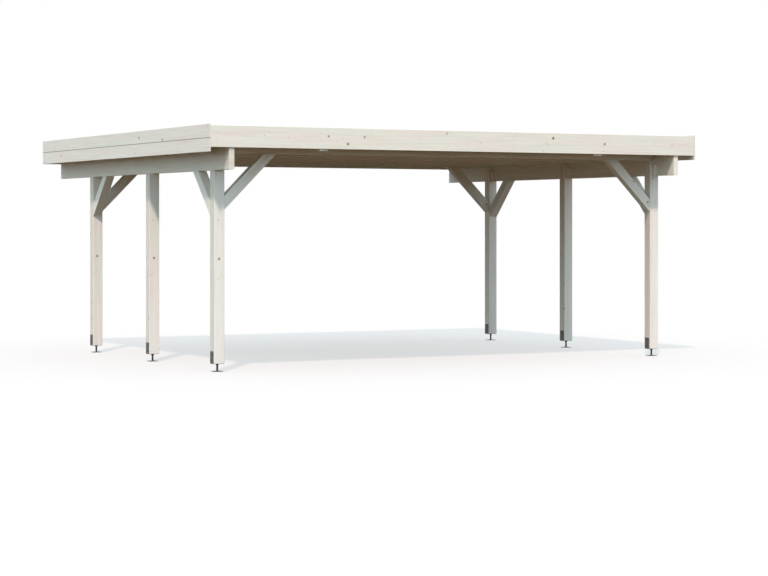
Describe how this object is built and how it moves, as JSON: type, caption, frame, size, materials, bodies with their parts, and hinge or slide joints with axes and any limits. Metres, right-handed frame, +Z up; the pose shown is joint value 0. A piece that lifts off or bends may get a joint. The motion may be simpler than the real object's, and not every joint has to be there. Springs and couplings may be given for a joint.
{
  "type": "flat-roofed timber double carport",
  "caption": "Open flat-roofed timber carport with square posts in steel shoes, side beams, 45 degree braces, cross rafters, board fascia and a sheet roof with a slight fall and an outlet.",
  "frame": {"origin": "on the ground below the middle of the roof", "axes": "+X to the right along the front, +Y from the front to the back, +Z up; the front faces -Y"},
  "size_m": [6.22, 5.54, 2.641],
  "materials": {
    "post_timber": "planed pale spruce",
    "beam_timber": "planed pale glued spruce",
    "brace_timber": "planed pale spruce",
    "rafter_timber": "planed pale spruce",
    "fascia_board": "planed pale spruce boards",
    "roof_board": "planed spruce roof boards",
    "roof_sheet": "matt dark roofing sheet",
    "galvanised_steel": "hot-dip galvanised, dull grey"
  },
  "bodies": {
    "root": {"fall_strip_1": "rafter_timber", "fall_strip_2": "rafter_timber", "fall_strip_3": "rafter_timber", "fall_strip_4": "rafter_timber", "fall_strip_5": "rafter_timber", "fall_strip_6": "rafter_timber", "fall_strip_7": "rafter_timber", "front_fascia": "fascia_board", "left_beam": "beam_timber", "left_fascia_lower": "fascia_board", "left_fascia_upper": "fascia_board", "left_front_beam_brace": "brace_timber", "left_front_post": "post_timber", "left_front_post_shoe": "galvanised_steel", "left_front_rafter_brace": "brace_timber", "left_middle_post": "post_timber", "left_middle_post_shoe": "galvanised_steel", "left_rear_beam_brace": "brace_timber", "left_rear_post": "post_timber", "left_rear_post_shoe": "galvanised_steel", "left_rear_rafter_brace": "brace_timber", "rafter_1": "rafter_timber", "rafter_2": "rafter_timber", "rafter_3": "rafter_timber", "rafter_4": "rafter_timber", "rafter_5": "rafter_timber", "rafter_6": "rafter_timber", "rafter_7": "rafter_timber", "rafter_8": "rafter_timber", "rafter_9": "rafter_timber", "rafter_front_edge": "rafter_timber", "rear_fascia_lower": "fascia_board", "rear_fascia_upper": "fascia_board", "right_beam": "beam_timber", "right_fascia_lower": "fascia_board", "right_fascia_upper": "fascia_board", "right_front_beam_brace": "brace_timber", "right_front_post": "post_timber", "right_front_post_shoe": "galvanised_steel", "right_front_rafter_brace": "brace_timber", "right_middle_post": "post_timber", "right_middle_post_shoe": "galvanised_steel", "right_rear_beam_brace": "brace_timber", "right_rear_post": "post_timber", "right_rear_post_shoe": "galvanised_steel", "right_rear_rafter_brace": "brace_timber", "roof_boarding": "roof_board", "roof_covering": "roof_sheet", "roof_outlet": "galvanised_steel"}
  },
  "joints": []
}
